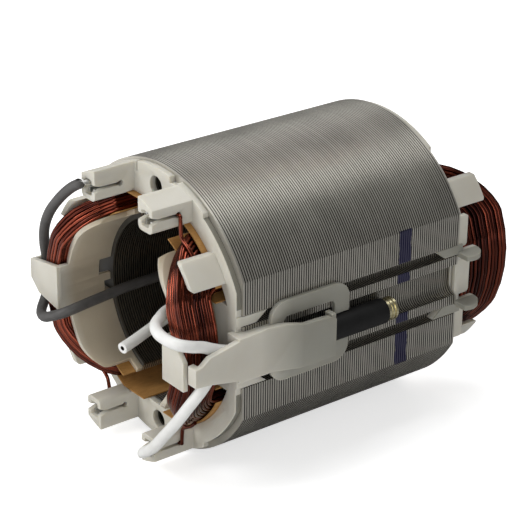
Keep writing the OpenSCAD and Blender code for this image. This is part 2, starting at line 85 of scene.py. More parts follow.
class Bench:
    """Modelling helpers that act on one object at a time."""

    @staticmethod
    def focus(piece: Piece) -> None:
        """Makes one object the only selected and active one.

        Args:
            piece: The object.
        """
        bpy.ops.object.select_all(action="DESELECT")
        piece.select_set(True)
        bpy.context.view_layer.objects.active = piece

    @staticmethod
    @contextmanager
    def editing(piece: Piece, mode: str = "FACE") -> Iterator[None]:
        """Opens a mesh in edit mode with everything selected.

        Args:
            piece: The mesh object to edit.
            mode: VERT, EDGE or FACE selection.
        """
        Bench.focus(piece)
        bpy.ops.object.mode_set(mode="EDIT")
        bpy.ops.mesh.select_mode(type=mode)
        bpy.ops.mesh.select_all(action="SELECT")
        yield
        bpy.ops.object.mode_set(mode="OBJECT")

    @staticmethod
    def copy_node(node: str, name: str) -> Piece:
        """Copies a CAD node's mesh into a new object with clean faces.

        Args:
            node: Name of the CAD node.
            name: Name of the new piece.

        Returns:
            The new object, its doubles merged and its flat faces joined.
        """
        piece = bpy.data.objects.new(name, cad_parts[node].data.copy())
        bpy.context.scene.collection.objects.link(piece)
        with Bench.editing(piece):
            bpy.ops.mesh.customdata_custom_splitnormals_clear()
            bpy.ops.mesh.remove_doubles(threshold=2e-6)
            bpy.ops.mesh.dissolve_limited(angle_limit=math.radians(0.6))
        return piece

    @staticmethod
    def apply(piece: Piece, kind: str, **settings: object) -> None:
        """Adds a modifier and applies it.

        Args:
            piece: The object to change.
            kind: The modifier's type.
            settings: The modifier's own settings.
        """
        Bench.focus(piece)
        modifier = piece.modifiers.new(kind.lower(), kind)
        for key, value in settings.items():
            setattr(modifier, key, value)
        bpy.ops.object.modifier_apply(modifier=modifier.name)

    @staticmethod
    def smooth(piece: Piece, angle: float = 35.0) -> None:
        """Shades a piece smooth below an angle in degrees."""
        Bench.focus(piece)
        bpy.ops.object.shade_smooth_by_angle(angle=math.radians(angle))

    @staticmethod
    def join(pieces: Sequence[Piece], name: str) -> Piece:
        """Joins mesh objects into the first one.

        Args:
            pieces: The objects, all meshes.
            name: Name of the joined piece.

        Returns:
            The joined object.
        """
        bpy.ops.object.select_all(action="DESELECT")
        for piece in pieces:
            piece.select_set(True)
        bpy.context.view_layer.objects.active = pieces[0]
        if len(pieces) > 1:
            bpy.ops.object.join()
        pieces[0].name = name
        return pieces[0]

    @staticmethod
    def to_mesh(piece: Piece) -> None:
        """Turns a curve object into a mesh object."""
        Bench.focus(piece)
        bpy.ops.object.convert(target="MESH")

    @staticmethod
    def tube(
        name: str, points: Sequence[Vector], radius: float, rounds: int, closed: bool = False
    ) -> Piece:
        """Draws a round tube along points.

        Args:
            name: Name of the new curve object.
            points: Points of the centre line, in metres.
            radius: Radius of the tube, in metres.
            rounds: Bevel resolution of the tube.
            closed: Whether the line joins up with its start.

        Returns:
            The curve object.
        """
        curve = bpy.data.curves.new(name, "CURVE")
        curve.dimensions = "3D"
        curve.bevel_depth = radius
        curve.bevel_resolution = rounds
        curve.use_fill_caps = not closed
        line = curve.splines.new("POLY")
        line.points.add(len(points) - 1)
        for slot, point in zip(line.points, points):
            slot.co = (*point, 1.0)
        line.use_cyclic_u = closed
        line.use_smooth = True
        piece = bpy.data.objects.new(name, curve)
        bpy.context.scene.collection.objects.link(piece)
        return piece

    @staticmethod
    def finish(piece: Piece, material: Material, slot: str, *nodes: str) -> None:
        """Gives a piece its material, rides it on the body and hides the CAD nodes that it replaces.

        Args:
            piece: The finished piece.
            material: Its material.
            slot: The record's material slot.
            nodes: CAD nodes that it replaces.
        """
        piece.data.materials.clear()
        piece.data.materials.append(material)
        Bench.settle(piece, slot, *nodes)

    @staticmethod
    def settle(piece: Piece, slot: str, *nodes: str) -> None:
        """Rides a piece on the body and hides the CAD nodes that it replaces.

        Args:
            piece: The finished piece.
            slot: The record's material slot; not used.
            nodes: CAD nodes that it replaces.
        """
        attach(piece, BODY)
        if nodes:
            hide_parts(*nodes)
        LOG.info("%s ready", piece.name)


class NodeBoard:
    """A material under construction."""

    def __init__(self, name: str) -> None:
        """Starts a material with one principled shader.

        Args:
            name: Name of the material.
        """
        self.material = bpy.data.materials.new(name)
        self.material.use_nodes = True
        self.tree = self.material.node_tree
        self.tree.nodes.clear()
        self.shader = self.tree.nodes.new("ShaderNodeBsdfPrincipled")
        output = self.tree.nodes.new("ShaderNodeOutputMaterial")
        self.tree.links.new(self.shader.outputs[0], output.inputs[0])
        self.place = self.add("ShaderNodeTexCoord").outputs["Object"]

    @cached_property
    def axes(self) -> tuple[Socket, Socket, Socket]:
        """Returns the object coordinates X, Y and Z."""
        return tuple(self.add("ShaderNodeSeparateXYZ", Vector=self.place).outputs)

    def add(self, kind: str, **inputs: object) -> bpy.types.Node:
        """Adds a node and sets or links its inputs.

        Args:
            kind: The node's type.
            inputs: Socket names with underscores for spaces, each a value or an output socket.

        Returns:
            The new node.
        """
        node = self.tree.nodes.new(kind)
        for key, value in inputs.items():
            self.plug(node.inputs[key.replace("_", " ")], value)
        return node

    def plug(self, socket: Socket, value: object) -> None:
        """Links an output to a socket, or sets the socket's own value.

        Args:
            socket: The input.
            value: A value or an output socket.
        """
        if isinstance(value, Socket):
            self.tree.links.new(value, socket)
        else:
            socket.default_value = value

    def set(self, **inputs: object) -> None:
        """Sets or links the principled shader's inputs."""
        for key, value in inputs.items():
            self.plug(self.shader.inputs[key.replace("_", " ")], value)

    def math(self, what: str, a: object, b: object = 0.0) -> Socket:
        """Adds a math node.

        Args:
            what: The operation.
            a: First value or socket.
            b: Second value or socket.

        Returns:
            The result's socket.
        """
        node = self.tree.nodes.new("ShaderNodeMath")
        node.operation = what
        self.plug(node.inputs[0], a)
        self.plug(node.inputs[1], b)
        return node.outputs[0]

    def above(self, value: Socket, limit: float) -> Socket:
        """Returns the mask of where a value lies above a limit."""
        return self.math("GREATER_THAN", value, limit)

    def below(self, value: Socket, limit: float) -> Socket:
        """Returns the mask of where a value lies below a limit."""
        return self.math("LESS_THAN", value, limit)

    def product(self, first: object, *others: object) -> Socket:
        """Multiplies values, so that of masks it keeps what they share.

        Args:
            first: First value or socket.
            others: The other values or sockets.

        Returns:
            The product's socket.
        """
        for other in others:
            first = self.math("MULTIPLY", first, other)
        return first

    def scaled(self, value: Socket, gain: float, base: float) -> Socket:
        """Returns a value times a gain, plus a base."""
        return self.math("ADD", self.math("MULTIPLY", value, gain), base)

    def weighed(self, a: Socket, b: Socket, share: float) -> Socket:
        """Returns a share of one value plus the rest of another."""
        return self.math("ADD", self.math("MULTIPLY", a, share), self.math("MULTIPLY", b, 1 - share))

    def span(self, a: Socket, b: Socket) -> Socket:
        """Returns the length of a vector with two parts."""
        total = self.math("ADD", self.math("MULTIPLY", a, a), self.math("MULTIPLY", b, b))
        return self.math("SQRT", total)

    def rise(self, value: Socket, span: Span, ends: Span = (0.0, 1.0)) -> Socket:
        """Maps a value's span to another, held at both ends.

        Args:
            value: The socket to map.
            span: Where the change starts and stops.
            ends: The result at the start and at the stop.

        Returns:
            The mapped value's socket.
        """
        node = self.add("ShaderNodeMapRange", Value=value, From_Min=span[0], From_Max=span[1],
                        To_Min=ends[0], To_Max=ends[1])
        return node.outputs["Result"]

    def ramp(self, factor: Socket, low: Colour, high: Colour, stops: Span = (0.3, 0.7)) -> Socket:
        """Adds a ramp between two colours.

        Args:
            factor: The socket that drives it.
            low: The colour up to the first stop.
            high: The colour from the second stop on.
            stops: Where the two colours stand.

        Returns:
            The colour's socket.
        """
        node = self.add("ShaderNodeValToRGB", Fac=factor)
        for element, position, colour in zip(node.color_ramp.elements, stops, (low, high)):
            element.position = position
            element.color = (*colour, 1.0)
        return node.outputs["Color"]

    def noise(
        self, scale: float, detail: float = 3.0, place: Socket | None = None, rough: float = 0.5
    ) -> Socket:
        """Adds a noise texture.

        Args:
            scale: Its scale, per metre.
            detail: Its octaves.
            place: The coordinates, or None for the object's own.
            rough: Its roughness.

        Returns:
            The noise's value socket.
        """
        node = self.add(
            "ShaderNodeTexNoise", Vector=place or self.place, Scale=scale, Detail=detail, Roughness=rough
        )
        return node.outputs["Fac"]

    def drawn(self, across: float, along: float) -> Socket:
        """Returns noise in lines that run along Y, by its two scales per metre."""
        place = self.add("ShaderNodeMapping", Vector=self.place, Scale=(across, along, across))
        return self.noise(scale=1.0, place=place.outputs["Vector"], rough=0.6)

    def mix(self, factor: object, a: object, b: object, blend: str = "MIX") -> Socket:
        """Mixes two colours.

        Args:
            factor: Share of the second colour.
            a: First colour or socket.
            b: Second colour or socket.
            blend: The blend type.

        Returns:
            The mixed colour's socket.
        """
        node = self.tree.nodes.new("ShaderNodeMix")
        node.data_type = "RGBA"
        node.blend_type = blend
        for index, value in ((0, factor), (6, a), (7, b)):
            self.plug(node.inputs[index], value)
        return node.outputs[2]

    def tinted(self, colour: Socket, tint: Colour, mask: Socket) -> Socket:
        """Returns a colour that is multiplied by a tint where a mask lies."""
        return self.mix(mask, colour, self.mix(1.0, colour, (*tint, 1.0), "MULTIPLY"))

    def bump(self, height: Socket, strength: float, distance: float) -> None:
        """Bumps the shader's normal by a height."""
        node = self.add("ShaderNodeBump", Height=height, Strength=strength, Distance=distance)
        self.set(Normal=node.outputs[0])


@dataclass(frozen=True)
class SteelFinish:
    """Bare edges of punched electrical steel with an ink stripe on one flat."""

    name: str = "electrical_steel_edges"
    dark: Colour = (0.43, 0.41, 0.365)
    light: Colour = (0.60, 0.577, 0.517)
    stops: Span = (0.15, 0.8)
    sheet_share: float = 0.25
    metal: float = 0.85
    seam: Colour = (0.045, 0.042, 0.036)
    seam_share: float = 0.42
    # Painted highlight: the seams fade towards the top, where light gives the stack an even sheen.
    top_sheen_z: Span = (22 * MM, 34 * MM)
    top_sheen: float = 0.65
    # Painted shade for the bore, the screw holes and the side grooves.
    hollow_shade: Colour = (0.30, 0.285, 0.25)
    bore_r: float = 21.2 * MM
    screw_z: float = 30 * MM
    screw_r: float = 2.5 * MM
    groove_shade: float = 0.3
    groove_x: float = 27.4 * MM
    groove_z: float = 9.3 * MM
    slot_r: float = 28.6 * MM
    face_y: float = 0.1 * MM
    flat_x: float = 30.4 * MM
    ink: Colour = (0.022, 0.022, 0.10)
    stripe_y: Span = (45.2 * MM, 48.8 * MM)
    stripe_wander: float = 1.1 * MM
    stripe_cover: float = 0.86

    def inside(self, board: NodeBoard) -> Socket:
        """Finds the bore, the screw holes and the side grooves, which get painted shade.

        Args:
            board: The material.

        Returns:
            The mask of where painted shade darkens the steel.
        """
        x, _, z = board.axes
        across = board.math("ABSOLUTE", x)
        up = board.math("ABSOLUTE", z)
        from_screw = board.math("SUBTRACT", up, self.screw_z)
        bore = board.below(board.span(across, up), self.bore_r)
        screw = board.below(board.span(across, from_screw), self.screw_r)
        groove = board.product(
            board.below(up, self.groove_z), board.below(across, self.flat_x),
            board.above(across, self.groove_x), self.groove_shade,
        )
        return board.math("MAXIMUM", board.math("MAXIMUM", bore, screw), groove)

    def shaded_front_face(self, board: NodeBoard) -> Socket:
        """Returns where painted shade darkens the front face round the coils."""
        x, y, z = board.axes
        return board.product(board.below(y, self.face_y), board.below(board.span(x, z), self.slot_r))

    def between(self, board: NodeBoard) -> Socket:
        """Finds the seams between the sheets, fainter towards the top of the stack as a painted sheen.

        Args:
            board: The material.

        Returns:
            The mask of the seams.
        """
        _, y, z = board.axes
        place = board.math("FRACT", board.math("ADD", board.math("DIVIDE", y, SHEET_T), 0.5))
        off = board.math("ABSOLUTE", board.math("SUBTRACT", place, 0.5))
        return board.product(
            board.below(off, self.seam_share / 2), board.rise(z, self.top_sheen_z, (1.0, self.top_sheen)),
            board.above(y, SHEET_T / 2), board.below(y, STACK_L - SHEET_T / 2),
        )

    def striped(self, board: NodeBoard) -> Socket:
        """Finds the brushed ink stripe.

        Args:
            board: The material.

        Returns:
            The mask of how much the ink covers.
        """
        x, y, _ = board.axes
        wander = board.math("SUBTRACT", board.noise(scale=420.0), 0.5)
        along = board.math("ADD", y, board.math("MULTIPLY", wander, self.stripe_wander))
        return board.product(
            board.above(along, self.stripe_y[0]), board.below(along, self.stripe_y[1]),
            board.above(x, self.flat_x), self.stripe_cover,
        )

    def material(self) -> Material:
        """Builds the material, each sheet a shade of its own.

        Returns:
            The material.
        """
        board = NodeBoard(self.name)
        _, y, _ = board.axes
        shade = board.add("ShaderNodeTexWhiteNoise")
        shade.noise_dimensions = "1D"
        board.plug(shade.inputs["W"], board.math("FLOOR", board.math("DIVIDE", y, SHEET_T)))
        patches = board.noise(scale=120.0, detail=4.0)
        tone = board.weighed(shade.outputs["Value"], patches, self.sheet_share)
        steel = board.ramp(tone, self.dark, self.light, self.stops)
        steel = board.mix(self.between(board), steel, (*self.seam, 1.0))
        # Painted shade in the bore, the screw holes and the side grooves.
        steel = board.tinted(steel, self.hollow_shade, self.inside(board))
        # Painted shade: the front face round the coils, seen under them and through the notch, goes to the
        # seam colour and loses its metal.
        front_shade = self.shaded_front_face(board)
        steel = board.mix(front_shade, steel, (*self.seam, 1.0))
        board.set(
            Base_Color=board.mix(self.striped(board), steel, (*self.ink, 1.0)),
            Metallic=board.scaled(front_shade, -self.metal, self.metal),
            Roughness=board.scaled(patches, gain=0.2, base=0.3),
        )
        board.bump(board.noise(scale=1800.0, detail=2.0), strength=0.1, distance=0.04 * MM)
        return board.material


@dataclass(frozen=True)
class MouldingFinish:
    """Slightly translucent ivory moulding."""

    name: str = "ivory_nylon"
    pale: Colour = (0.615, 0.597, 0.528)
    deep: Colour = (0.547, 0.518, 0.447)
    bleed: Colour = (1.0, 0.9, 0.7)
    # Painted shade, partly the dark steel seen through the thin wall: the side arm's plate darkens towards
    # the back.
    over_steel_shade: Colour = (0.52, 0.53, 0.52)
    steel_x: float = 30.2 * MM
    steel_y: Span = (3 * MM, 13 * MM)
    # Painted warm shade on the wall round the bore, where little light reaches.
    bore_wall_shade: Colour = (0.80, 0.72, 0.62)
    bore_r: float = 23.6 * MM
    wall_y: Span = (-13.4 * MM, -10 * MM)
    # Painted shade on the side wall of the front plate's outer edge.
    rim_shade: Colour = (0.36, 0.36, 0.34)
    rim_r: float = 33.2 * MM
    rim_x: float = 29.85 * MM
    rim_y: Span = (-1.3 * MM, 0.5 * MM)
    step_x: float = 17.8 * MM
    arm_z: float = 10.5 * MM

    def edge(self, board: NodeBoard) -> Socket:
        """Finds the outer edge of the front plate, beyond its steps and clear of the side arm, where
        painted shade greys its side wall.

        Args:
            board: The material.

        Returns:
            The mask of the edge.
        """
        x, y, z = board.axes
        across = board.math("ABSOLUTE", x)
        up = board.math("ABSOLUTE", z)
        round_edge = board.above(board.span(across, up), self.rim_r)
        outside = board.math("MAXIMUM", round_edge, board.above(across, self.rim_x))
        return board.product(
            outside, board.above(across, self.step_x), board.above(up, self.arm_z),
            board.above(y, self.rim_y[0]), board.below(y, self.rim_y[1]),
        )

    def material(self) -> Material:
        """Builds the material, with painted shade where a thin wall lies over steel, round the bore and on
        the plate's outer edge.

        Returns:
            The material.
        """
        board = NodeBoard(self.name)
        x, y, z = board.axes
        grain = board.noise(scale=2600.0, detail=2.0)
        ivory = board.ramp(board.noise(scale=70.0, detail=4.0), self.deep, self.pale)
        # Painted warm shade on the inner wall round the bore.
        inner_shade = board.product(board.below(board.span(x, z), self.bore_r), board.rise(y, self.wall_y))
        ivory = board.tinted(ivory, self.bore_wall_shade, inner_shade)
        # Painted shade greys the plate's outer side wall.
        ivory = board.tinted(ivory, self.rim_shade, self.edge(board))
        # Painted shade, partly steel showing through, where the thin wall lies over the flat.
        backed_shade = board.product(board.rise(y, self.steel_y), board.above(x, self.steel_x))
        board.set(
            Base_Color=board.tinted(ivory, self.over_steel_shade, backed_shade),
            Roughness=board.scaled(grain, gain=0.14, base=0.36),
            Subsurface_Weight=0.5,
            Subsurface_Scale=1.6 * MM,
            Subsurface_Radius=self.bleed,
            Specular_IOR_Level=0.45,
        )
        board.bump(grain, strength=0.12, distance=0.03 * MM)
        return board.material


@dataclass(frozen=True)
class EnamelFinish:
    """Copper wire under dark red-brown enamel."""

    name: str = "enamelled_wire"
    shade: Colour = (0.03, 0.0045, 0.0028)
    warm: Colour = (0.255, 0.056, 0.029)
    stops: Span = (0.2, 0.8)
    strand_share: float = 0.6
    coat: Colour = (1.0, 0.7, 0.52)

    def material(self) -> Material:
        """Builds the material, each strand a little different.

        Returns:
            The material.
        """
        board = NodeBoard(self.name)
        strand = board.add("ShaderNodeNewGeometry").outputs["Random Per Island"]
        stain = board.noise(scale=240.0, detail=2.0)
        tone = board.weighed(strand, stain, self.strand_share)
        board.set(
            Base_Color=board.ramp(tone, self.shade, self.warm, self.stops),
            Metallic=0.95,
            Roughness=board.scaled(stain, gain=0.06, base=0.11),
            Coat_Weight=0.15,
            Coat_Roughness=0.05,
            Coat_Tint=(*self.coat, 1.0),
        )
        board.bump(board.noise(scale=700.0, detail=2.0), strength=0.02, distance=0.04 * MM)
        return board.material


@dataclass(frozen=True)
class PaperFinish:
    """Tan insulating paper with fibres."""

    name: str = "slot_paper"
    pale: Colour = (0.50, 0.26, 0.075)
    deep: Colour = (0.31, 0.15, 0.038)
    fibre_share: float = 0.5

    def material(self) -> Material:
        """Builds the material with fine fibres and stains.

        Returns:
            The material.
        """
        board = NodeBoard(self.name)
        fibres = board.drawn(across=2400.0, along=500.0)
        tone = board.weighed(fibres, board.noise(scale=160.0), self.fibre_share)
        board.set(Base_Color=board.ramp(tone, self.deep, self.pale), Roughness=0.78)
        board.bump(fibres, strength=0.3, distance=0.06 * MM)
        return board.material


@dataclass(frozen=True)
class SheetMetalFinish:
    """Drawn or plated sheet metal with fine scratches."""

    name: str
    dull: Colour
    bright: Colour
    rough: float = 0.28

    def material(self) -> Material:
        """Builds the material with stretched scratches.

        Returns:
            The material.
        """
        board = NodeBoard(self.name)
        scratches = board.drawn(across=3000.0, along=350.0)
        board.set(
            Base_Color=board.ramp(scratches, self.dull, self.bright),
            Metallic=1.0,
            Roughness=board.scaled(scratches, gain=0.2, base=self.rough),
        )
        board.bump(scratches, strength=0.15, distance=0.04 * MM)
        return board.material


@dataclass(frozen=True)
class JacketFinish:
    """Extruded wire insulation or sleeving."""

    name: str
    deep: Colour
    pale: Colour
    rough: float = 0.45
    glow: float = 0.0
    shine: float = 0.5
    bleed: Colour = (1.0, 1.0, 0.95)

    def material(self) -> Material:
        """Builds the material with faint dust and a fine grain.

        Returns:
            The material.
        """
        board = NodeBoard(self.name)
        dust = board.noise(scale=320.0, detail=4.0)
        board.set(
            Base_Color=board.ramp(dust, self.deep, self.pale),
            Roughness=board.scaled(dust, gain=0.16, base=self.rough),
            Subsurface_Weight=self.glow,
            Subsurface_Scale=1 * MM,
            Subsurface_Radius=self.bleed,
            Specular_IOR_Level=self.shine,
        )
        board.bump(board.noise(scale=3200.0, detail=2.0), strength=0.12, distance=0.03 * MM)
        return board.material


class Finishes:
    """One material for each of the record's slots."""

    def __init__(self) -> None:
        """Builds every material once."""
        self.steel = SteelFinish().material()
        self.moulding = MouldingFinish().material()
        self.enamel = EnamelFinish().material()
        self.paper = PaperFinish().material()
        self.tin = SheetMetalFinish("tinned_brass", (0.42, 0.42, 0.40), (0.68, 0.68, 0.66)).material()
        self.brass = SheetMetalFinish(
            "bare_brass", (0.50, 0.44, 0.25), (0.82, 0.76, 0.53), rough=0.22
        ).material()
        # Painted shade: near-black copper for the strands deep in the cut end and the walls of its hole.
        self.shaded_copper = SheetMetalFinish(
            "shaded_copper_strands", (0.02, 0.012, 0.009), (0.07, 0.04, 0.028), rough=0.45
        ).material()
        self.grey = JacketFinish(
            "grey_insulation", (0.050, 0.048, 0.046), (0.080, 0.076, 0.073), rough=0.42
        ).material()
        self.white = JacketFinish(
            "white_insulation", (0.76, 0.76, 0.735), (0.84, 0.84, 0.82), rough=0.36, glow=0.2
        ).material()
        self.black = JacketFinish(
            "black_sleeving", (0.006, 0.006, 0.006), (0.011, 0.011, 0.011), rough=0.5, shine=0.25
        ).material()


@dataclass
class LaminatedCore:
    """The stack of punched sheets, each edge its own ridge."""

    gap: float = 0.26 * MM
    depth: float = 0.2 * MM

    def build(self) -> Piece:
        """Cuts a groove between every two sheets of the core.

        Returns:
            The core.
        """
        piece = Bench.copy_node("lamination_stack", "lamination_sheets")
        with Bench.editing(piece):
            for index in range(1, SHEETS):
                for edge in (-0.5, 0.5):
                    bpy.ops.mesh.select_all(action="SELECT")
                    bpy.ops.mesh.bisect(
                        plane_co=(0.0, index * SHEET_T + edge * self.gap, 0.0), plane_no=(0.0, 1.0, 0.0)
                    )
        for face in piece.data.polygons:
            place = face.center.y / SHEET_T
            off = abs(place - round(place)) * SHEET_T
            outward = abs(face.normal.y) < 0.5
            face.select = outward and off < self.gap / 2 and 0.5 < place < SHEETS - 0.5
        Bench.focus(piece)
        bpy.ops.object.mode_set(mode="EDIT")
        bpy.ops.mesh.select_mode(type="FACE")
        bpy.ops.mesh.extrude_region_shrink_fatten(TRANSFORM_OT_shrink_fatten={"value": -self.depth})
        bpy.ops.object.mode_set(mode="OBJECT")
        Bench.smooth(piece, angle=20.0)
        return piece

    def dress(self, finishes: Finishes) -> None:
        """Builds the core and gives it its finish."""
        Bench.finish(self.build(), finishes.steel, "electrical_steel", "lamination_stack")


@dataclass(frozen=True)
class Block:
    """A box to be cut away, its spans in millimetres."""

    x: Span
    y: Span
    z: Span

    def cut_from(self, piece: Piece) -> None:
        """Cuts the box out of a piece.

        Args:
            piece: The mesh object to cut.
        """
        spans = (self.x, self.y, self.z)
        bpy.ops.object.select_all(action="DESELECT")
        bpy.ops.mesh.primitive_cube_add(size=1.0, location=[sum(span) / 2 * MM for span in spans])
        box = bpy.context.active_object
        box.scale = [abs(span[1] - span[0]) * MM for span in spans]
        bpy.ops.object.transform_apply(location=True, scale=True)
        Bench.apply(piece, "BOOLEAN", operation="DIFFERENCE", object=box, solver="EXACT")
        bpy.data.objects.remove(box)


@dataclass
class MouldedFrame:
    """An end frame with softened moulded edges."""

    node: str
    name: str
    trims: list[Block]
    edge: float = 0.3 * MM

    def build(self) -> Piece:
        """Trims a copy of the node and rounds its edges.

        Returns:
            The moulding.
        """
        piece = Bench.copy_node(self.node, self.name)
        for block in self.trims:
            block.cut_from(piece)
        Bench.apply(
            piece, "BEVEL", width=self.edge, segments=2, limit_method="ANGLE",
            angle_limit=math.radians(38), use_clamp_overlap=True,
        )
        Bench.smooth(piece, angle=32.0)
        return piece

    def dress(self, finishes: Finishes) -> None:
        """Builds the moulding and gives it its finish."""
        Bench.finish(self.build(), finishes.moulding, "ivory_moulding", self.node)


@dataclass
class FieldCoil:
    """A saddle coil wound round one pole, drawn strand by strand, its sizes in millimetres."""

    side: Side
    node: str
    name: str
    wire: float = 0.96
    width: float = 13.986
    columns: int = 13
    rows: int = 6
    heart: float = 3.5
    heart_columns: tuple[int, ...] = (-4, -2, 0, 2, 4)
    stack: float = STACK_L / MM
    slot: Span = (23.5, 28.2)
    ends: Span = (23.2, 28.7)
    first_turn: float = 12.712
    first_out: float = 4.2
    turn: float = 1.5
    corner_steps: int = 9
    mid_shares: tuple[float, ...] = (0.6, 0.2, -0.2, -0.6)
    overhang: Span = (13.8, 18.5)
    flare_from: float = 6.0
    flare_run: float = 4.0
    lean: float = 1.45
    wander: float = 0.1
    held: float = 0.3
    heave: float = 0.03
    sway_waves: tuple[Span, ...] = ((2, 1.0), (5, 0.7))
    lift_waves: tuple[Span, ...] = ((3, 1.0), (7, 0.6))
    seed: int = 7

    def station_list(self) -> list[Station]:
        """Lists the stations round the loop.

        Returns:
            For each station its centre across, centre along, angle and stretch.
        """
        across = self.first_turn - self.turn
        front = self.first_out - self.turn
        rear = -self.stack - self.first_out + self.turn
        stretch = [(reach - self.first_out) / self.width for reach in self.overhang]
        corner = [90.0 * step / self.corner_steps for step in range(self.corner_steps + 1)]
        stations = [(across, front, angle, stretch[0]) for angle in corner]
        stations += [(share * across, front, 90.0, stretch[0]) for share in self.mid_shares]
        stations += [(-across, front, 90.0 + angle, stretch[0]) for angle in corner]
        stations += [(-across, -self.stack / 2, 180.0, 1.0)]
        stations += [(-across, rear, 180.0 + angle, stretch[1]) for angle in corner]
        stations += [(-share * across, rear, 270.0, stretch[1]) for share in self.mid_shares]
        stations += [(across, rear, 270.0 + angle, stretch[1]) for angle in corner]
        stations += [(across, -self.stack / 2, 0.0, 1.0)]
        return stations

    def leaned(self, value: float) -> float:
        """Returns a sine or cosine that gives flatter corners."""
        return math.copysign(abs(value) ** self.lean, value)

    def point(self, station: Station, out: float, share: float) -> Vector:
        """Places one point of the bundle.

        Args:
            station: A station round the loop.
            out: Distance from the first turn, in millimetres.
            share: Share of the radial depth, from 0 inside to 1 outside.

        Returns:
            The point in the row frame, in metres.
        """
        across, along, angle, stretch = station
        mid = sum(self.slot) / 2
        turn = math.radians(angle)
        arc = across + self.turn * math.cos(turn) + out * self.leaned(math.cos(turn))
        axial = along + self.turn * math.sin(turn) + stretch * out * self.leaned(math.sin(turn))
        beyond = max(axial, -self.stack - axial)
        open_up = min(1.0, max(0.0, (beyond - self.flare_from) / self.flare_run))
        low = self.slot[0] + (self.ends[0] - self.slot[0]) * open_up + self.wire / 2
        high = self.slot[1] + (self.ends[1] - self.slot[1]) * open_up - self.wire / 2
        radius = low + (high - low) * share
        theta = arc / mid
        reach = self.side.value * radius
        return Vector((reach * math.cos(theta), -axial, reach * math.sin(theta))) * MM

    @staticmethod
    def wave(waves: Sequence[Span], phases: Sequence[float], lap: float) -> float:
        """Adds up waves, each with its count and height, at one place round the loop."""
        return sum(height * math.sin(count * lap + phase) for (count, height), phase in zip(waves, phases))

    def strand(self, column: float, share: float, dice: random.Random) -> list[Vector]:
        """Lays one turn of wire that wanders a little.

        Args:
            column: Column of the turn across the bundle.
            share: Share of the radial depth.
            dice: The random source.

        Returns:
            The points of the turn.
        """
        usable = self.width - self.wire
        base = self.wire / 2 + usable * column / (self.columns - 1)
        phases = [dice.uniform(0, 2 * math.pi) for _ in range(4)]
        stations = self.station_list()
        points = []
        for index, station in enumerate(stations):
            lap = 2 * math.pi * index / len(stations)
            loose = abs(math.sin(math.radians(station[2])))
            sway = self.wave(self.sway_waves, phases[:2], lap)
            lift = self.wave(self.lift_waves, phases[2:], lap)
            out = base + self.wander * (self.held + loose) * sway
            level = share + self.heave * loose * lift
            out = min(self.width - self.wire / 2, max(self.wire / 2, out))
            points.append(self.point(station, out, min(1.0, max(0.0, level))))
        return points

    def build(self) -> Piece:
        """Winds a filled heart with separate strands on its faces.

        Returns:
            The winding.
        """
        dice = random.Random(self.seed)
        strands = []
        last = self.rows - 1
        for row in range(self.rows):
            for column in range(self.columns):
                if 0 < row < last and 1 < column < self.columns - 2:
                    continue
                shift = 0.5 if row % 2 and column < self.columns - 1 else 0.0
                points = self.strand(column + shift, row / last, dice)
                strands.append(Bench.tube("strand", points, self.wire / 2 * MM, rounds=2, closed=True))
        middle = (self.columns - 1) / 2
        for step in self.heart_columns:
            points = self.strand(middle + step, 0.5, dice)
            strands.append(Bench.tube("strand", points, self.heart / 2 * MM, rounds=1, closed=True))
        for piece in strands:
            Bench.to_mesh(piece)
        piece = Bench.join(strands, self.name)
        Bench.focus(piece)
        bpy.ops.object.shade_smooth()
        return piece

    def dress(self, finishes: Finishes) -> None:
        """Builds the winding and gives it its finish."""
        Bench.finish(self.build(), finishes.enamel, "enamelled_copper", self.node)


@dataclass
class Route:
    """A smooth line through route points given in millimetres."""

    points: list[Spot]
    steps: int = 6

    def line(self) -> list[Vector]:
        """Draws a curve that passes through every route point.

        Returns:
            The points of the smooth line, in metres.
        """
        spots = [Vector(point) * MM for point in self.points]
        first = spots[0] * 2 - spots[1]
        final = spots[-1] * 2 - spots[-2]
        padded = [first, *spots, final]
        line = []
        for index in range(1, len(padded) - 2):
            before, start, end, after = padded[index - 1:index + 3]
            for step in range(self.steps):
                t = step / self.steps
                line.append(
                    0.5 * (2 * start + (end - before) * t
                           + (2 * before - 5 * start + 4 * end - after) * t ** 2
                           + (3 * start - before - 3 * end + after) * t ** 3)
                )
        line.append(spots[-1])
        return line

    @staticmethod
    def length(line: Sequence[Vector]) -> float:
        """Returns the length of a line of points."""
        return sum((b - a).length for a, b in zip(line, line[1:]))


@dataclass
class Lead:
    """An insulated lead on its own route, its sizes in millimetres."""

    node: str
    name: str
    slot: str
    diameter: float
    route: Route
    far_end: str
    partners: list[str] = field(default_factory=list)
    stripped: Route | None = None
    bare: float = 0.0

    def dress(self, material: Material, finishes: Finishes) -> None:
        """Args:
            material: The insulation's material.
            finishes: All materials.
        """
        line = self.route.line()
        extra = [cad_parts[partner] for partner in self.partners]
        if self.bare:
            tip = CutEnd(self.diameter * MM, self.bare * MM, line[-1], line[-1] - line[-3])
            line = tip.trim(line)
            extra.append(tip.dress(material, finishes, self.slot))
        if self.stripped:
            extra.append(StrippedEnd(f"{self.name}_conductor", self.stripped).dress(finishes, self.slot))
        piece = Bench.tube(self.name, line, self.diameter * MM / 2, rounds=5)
        Bench.finish(piece, material, self.slot, self.node)
        Route.length(line)


